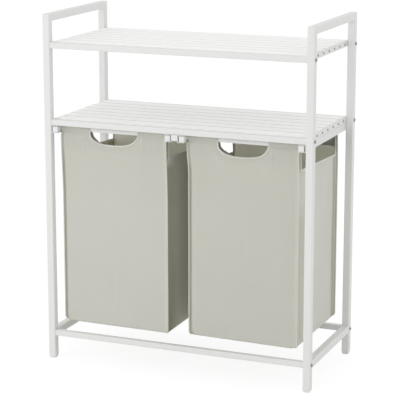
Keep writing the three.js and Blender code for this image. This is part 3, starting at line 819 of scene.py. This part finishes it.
def rounded_path(corners, radius, step, arc_points=7, close_part=5):
    """Points along a line with the given corners, each rounded by an arc of the radius. On an arc, a
    point is the mix of its two ends by the sines of the angles left and gone. Of points that lie
    closer than a part of the step, one stays."""
    corners = np.asarray(corners, float)
    runs = [corners[:1]]
    for before, corner, after in zip(corners, corners[1:], corners[2:]):
        back, ahead = ((end - corner) / np.linalg.norm(end - corner) for end in (before, after))
        half = np.arccos(np.clip(back @ ahead, -1, 1)) / 2
        centre = corner + (back + ahead) / np.linalg.norm(back + ahead) * radius / np.sin(half)
        arms = [corner + way * radius / np.tan(half) - centre for way in (back, ahead)]
        angle, share = math.pi - 2 * half, np.linspace(0, 1, arc_points)[:, None]
        mixed = np.sin((1 - share) * angle) * arms[0] + np.sin(share * angle) * arms[1]
        runs.append(centre + mixed / np.sin(angle))
    path = np.concatenate([*runs, corners[-1:]])
    gone = lengths_along(path)
    stations = np.sort(np.concatenate([gone, np.arange(0, gone[-1], step)]))
    stations = stations[np.concatenate([[True], np.diff(stations) > step / close_part])]
    return np.stack([np.interp(stations, gone, path[:, axis]) for axis in (0, 1)], -1)


def sleeve(bag, end_name, end):
    """A sheet of widths by runs: up the face, over the bar, and down to the seam behind it."""
    bar_low, bar_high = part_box(f"{bag.side_name}_bar_{end_name}")
    face = bag.middle[1] + end * bag.half_y
    far = (bar_high.y if end < 0 else bar_low.y) - end * sleeve_slack
    depth = abs(far - face)
    profile = rounded_path([
        (0, bag.wall_top), (0, bag.top), (depth, bag.top),
        (sleeve_loose_share * depth, bag.top - sleeve_loose_drop),
        (sleeve_sewn_place, bag.top - sleeve_sewn_drop)], sleeve_bend, sleeve_step)
    run = lengths_along(profile)
    half = bag.half_x - sleeve_end_gap
    width = np.linspace(-half, half, round(2 * half / sleeve_step))

    def place(at):
        """Distance behind the face and height, at a length along the profile."""
        return (np.interp(at, run, profile[:, axis]) for axis in (0, 1))

    def distance(x, at):
        """Distance outside the hand hole, which the rear sleeve doesn't have."""
        back, height = place(at)
        high, low, start, stop = sleeve_hole_rises[bag.side_name]
        rise = (high + (low - high) * eased(x / hand_hole_half, start, stop)) * eased(back, 0, depth)
        return bag.hand_hole(x, height - rise) if end < 0 else np.ones_like(x)

    first, second, used, renumber, faces = cut_sheet(*np.meshgrid(width, run), distance, run[-1])
    back, height = place(second)
    aside = bag.lean(first, end * bag.half_y, height)
    points = np.stack([bag.middle[0] + first + aside, face - end * back, height], -1).reshape(-1, 3)[used]
    faces = renumber[faces] if end < 0 else renumber[faces][:, ::-1]
    uv = np.stack([first, second + bag.wall_top], -1).reshape(-1, 2)[used]
    # Painted shade or light on the sleeve's far run, and on the front sleeve the front's painted shade.
    lost = sleeve_shades[bag.side_name, end] * eased(second / run[-1], sleeve_shade_start, sleeve_shade_full)
    lost = (lost + (end < 0) * bag.painted_front_shade(height)).ravel()[used]
    piece = mesh_piece(f"{bag.side_name}_sleeve_{end_name}", points, faces, cloth, bag.body_name, uv, lost)
    thicken(piece)


for bag in bags.values():
    sleeve(bag, "front", -1)
    sleeve(bag, "rear", 1)


# Bindings, hems and corner seams.
# A tape is folded round the hand hole's edges. The edges of the side openings are
# turned over and sewn down, and a narrow welt stands along each upright corner.
binding_half, binding_thick_half, binding_middle, binding_fullness = 0.0018, 0.0017, 0.0010, 2.5
binding_start, outline_points = 0.05, 56
hem_half, hem_thick_half, hem_lap, hem_fullness = 0.0034, 0.0011, 0.0004, 4
# Painted shade on the rear leg of each side hem, more towards its top.
rear_hem_shade, rear_hem_fade_low, rear_hem_fade_high = 0.42, -0.01, 0.03
welt_half, welt_thick_half, welt_out, welt_fullness = 0.0016, 0.0013, 0.0008, 2
welt_turn = welt_half / 3
profile_sides, path_step = 12, 0.004


def flat_loop(half_width, half_thickness, middle_width, middle_out, fullness):
    """A closed superellipse of widths and thicknesses about a middle."""
    angle = np.arange(profile_sides) * (2 * math.pi / profile_sides)
    bulged = [np.sign(value) * np.abs(value) ** (2 / fullness) for value in (np.cos(angle), np.sin(angle))]
    return np.stack([middle_width + half_width * bulged[0], middle_out + half_thickness * bulged[1]], -1)


def tube_piece(name, points, finish, body, uv, lost):
    """A tube from rings of points, closed at its ends. Its faces are turned round where the sum of
    the volumes between them and its middle is negative, so that they point outward."""
    rings, sides = points.shape[:2]
    faces = grid_faces(rings, sides, closed=True)
    flat = points.reshape(-1, 3)
    a, b, c = (flat[faces[:, k]] - flat.mean(0) for k in (0, 1, 2))
    way = -1 if np.sum(np.cross(a, b) * c) < 0 else 1
    caps = [np.arange(sides)[::-1], np.arange(sides) + (rings - 1) * sides]
    faces = [list(face)[::way] for face in [*faces, *caps]]
    mesh_piece(name, flat, faces, finish, body, uv, lost)


def band(name, bag, path, across, profile, finish, lost=0.0):
    """A tube along a path on the bag, with the profile's widths measured along the across direction,
    and with the share of painted shade by ring and by side."""
    width, out = profile[None, :, 0], profile[None, :, 1]
    first, second = (path[:, None, axis] + across[:, None, axis] * width for axis in (0, 1))
    uv = np.stack(np.broadcast_arrays(lengths_along(path)[:, None], width + out), -1)
    lost = np.broadcast_to(lost, first.shape)
    tube_piece(name, bag.surface(first, second, out), finish, bag.body_name, uv, lost)


def away(path, distance, small=0.0002):
    """Unit directions in which the distance grows."""
    first, second = path[:, 0], path[:, 1]
    slope = np.stack([distance(first + small, second) - distance(first - small, second),
                      distance(first, second + small) - distance(first, second - small)], -1)
    return slope / np.linalg.norm(slope, axis=1, keepdims=True)


def hand_hole_path(bag, first_angle):
    """The hand hole's outline from its upper left to its upper right, as places across and heights:
    a half superellipse, by its angle from the first one to the last."""
    angle, power = np.linspace(first_angle, math.pi - first_angle, outline_points), 2 / hand_hole_fullness
    x = -np.sign(np.cos(angle)) * np.abs(np.cos(angle)) ** power * hand_hole_half
    return np.stack([x, bag.top - bag.hole_depth * np.sin(angle) ** power], -1)


def side_opening_path(bag, side):
    """A side opening's outline from the front strip's top to the rear strip's top."""
    low_front, low_rear = side_opening_lows[bag.side_name][side]
    front, rear = (bag.on_side(side, y) for y in (-bag.half_y + strip_front, bag.half_y - strip_rears[side]))
    path = rounded_path([(front, bag.wall_top), (front, low_front), (rear, low_rear), (rear, bag.wall_top)],
                        strip_corner, path_step)
    return np.stack(onto_edge(*path.T, bag.side_opening), -1)


for bag in bags.values():
    outline = hand_hole_path(bag, binding_start)
    loop = flat_loop(binding_half, binding_thick_half, binding_middle, -cloth_thickness / 2, binding_fullness)
    band(f"{bag.side_name}_hand_hole_binding", bag, outline, away(outline, bag.hand_hole), loop, tape)
    for side, side_word in ((-1, "left"), (1, "right")):
        outline = side_opening_path(bag, side)
        loop = flat_loop(hem_half, hem_thick_half, hem_half - hem_lap, -cloth_thickness / 2, hem_fullness)
        # Painted shade on the hem's rear leg, growing towards its top.
        low_rear = side_opening_lows[bag.side_name][side][1]
        is_rear = bag.plan(outline[:, 0])[1] > bag.half_y - strip_rears[side] - 2 * strip_corner
        rear_fade = eased(outline[:, 1], low_rear + rear_hem_fade_low, low_rear + rear_hem_fade_high)
        lost = rear_hem_shade * is_rear * rear_fade
        band(f"{bag.side_name}_side_hem_{side_word}", bag, outline, away(outline, bag.side_opening), loop,
             tape, lost[:, None])
    heights = np.arange(bag.foot - lower_radius, bag.wall_top, path_step)
    loop = flat_loop(welt_half, welt_thick_half, 0.0, welt_out, welt_fullness)
    for stop, corner_word in ((1, "front_right"), (3, "rear_right"), (5, "rear_left"), (7, "front_left")):
        along = (bag.stops[stop] + bag.stops[stop + 1]) / 2
        path = np.stack([np.full_like(heights, along), heights], -1)
        # The front right welt has painted shade on its side half and a painted highlight on its front half.
        on_side = eased(loop[:, 0], -welt_turn, welt_turn)
        lost = (front_strip_shades[bag.side_name][0] + lit_margin) * on_side - lit_margin if stop == 1 else 0.0
        across = np.tile([1.0, 0.0], (len(path), 1))
        band(f"{bag.side_name}_welt_{corner_word}", bag, path, across, loop, cloth, lost)


# Stitching.
# Lockstitches in pale thread hold the facing round the hand hole, the hems of the side
# openings and the rear seams.
stitch_length, stitch_gap, stitch_radius, stitch_rise_share = 0.0026, 0.0010, 0.00032, 0.3
# Each ring's place as a share of the stitch's length, and its radius as a share of the full one.
stitch_rings = np.array([[-0.5, 0.25], [-0.42, 0.8], [0.0, 1.0], [0.42, 0.8], [0.5, 0.25]])
stitch_sides, stitch_probe = 6, 0.001
facing_stitch_start, hem_stitch_gap = 0.22, 0.0008
seam_stitch_foot, seam_stitch_head = 0.004, 0.012


def stitches(name, bag, path):
    """A row of short rounded rods, half sunk in the cloth, along a path on the bag."""
    gone = lengths_along(path)
    starts = np.arange(0, gone[-1] - stitch_length, stitch_length + stitch_gap)
    ends = [bag.surface(*(np.interp(starts + extra, gone, path[:, axis]) for axis in (0, 1)), 0.0)
            for extra in (0.0, stitch_length)]
    here = [np.interp(starts + stitch_length / 2, gone, path[:, axis]) for axis in (0, 1)]
    out = bag.surface(*here, stitch_probe) - bag.surface(*here, 0.0)
    out /= np.linalg.norm(out, axis=1, keepdims=True)
    run = ends[1] - ends[0]
    side = np.cross(run / np.linalg.norm(run, axis=1, keepdims=True), out)
    middle = (ends[0] + ends[1]) / 2 + out * stitch_radius * stitch_rise_share
    angle = np.arange(stitch_sides) * (2 * math.pi / stitch_sides)
    round_about = side[:, None] * np.cos(angle)[None, :, None] + out[:, None] * np.sin(angle)[None, :, None]
    points = (middle[:, None, None] + run[:, None, None] * stitch_rings[None, :, None, :1]
              + round_about[:, None] * (stitch_rings[None, :, None, 1:] * stitch_radius))
    faces = grid_faces(len(stitch_rings), stitch_sides, closed=True)
    faces = repeated(faces, len(stitch_rings) * stitch_sides, len(middle))
    mesh_piece(name, points, faces, thread, bag.body_name)


for bag in bags.values():
    outline = hand_hole_path(bag, facing_stitch_start)
    stitches(f"{bag.side_name}_facing_stitches", bag, outline + away(outline, bag.hand_hole) * facing_gap)
    for side, side_word in ((-1, "left"), (1, "right")):
        outline = side_opening_path(bag, side)
        stitches(f"{bag.side_name}_hem_stitches_{side_word}", bag,
                 outline + away(outline, bag.side_opening) * (2 * hem_half + hem_stitch_gap))
        seam_y = bag.half_y - sum(rear_seam_places) / 2
        rear_low = side_opening_lows[bag.side_name][side][1]
        heights = np.array([bag.foot + seam_stitch_foot, rear_low - seam_stitch_head])
        stitches(f"{bag.side_name}_rear_seam_stitches_{side_word}", bag,
                 np.stack([np.full(2, bag.on_side(side, seam_y)), heights], -1))
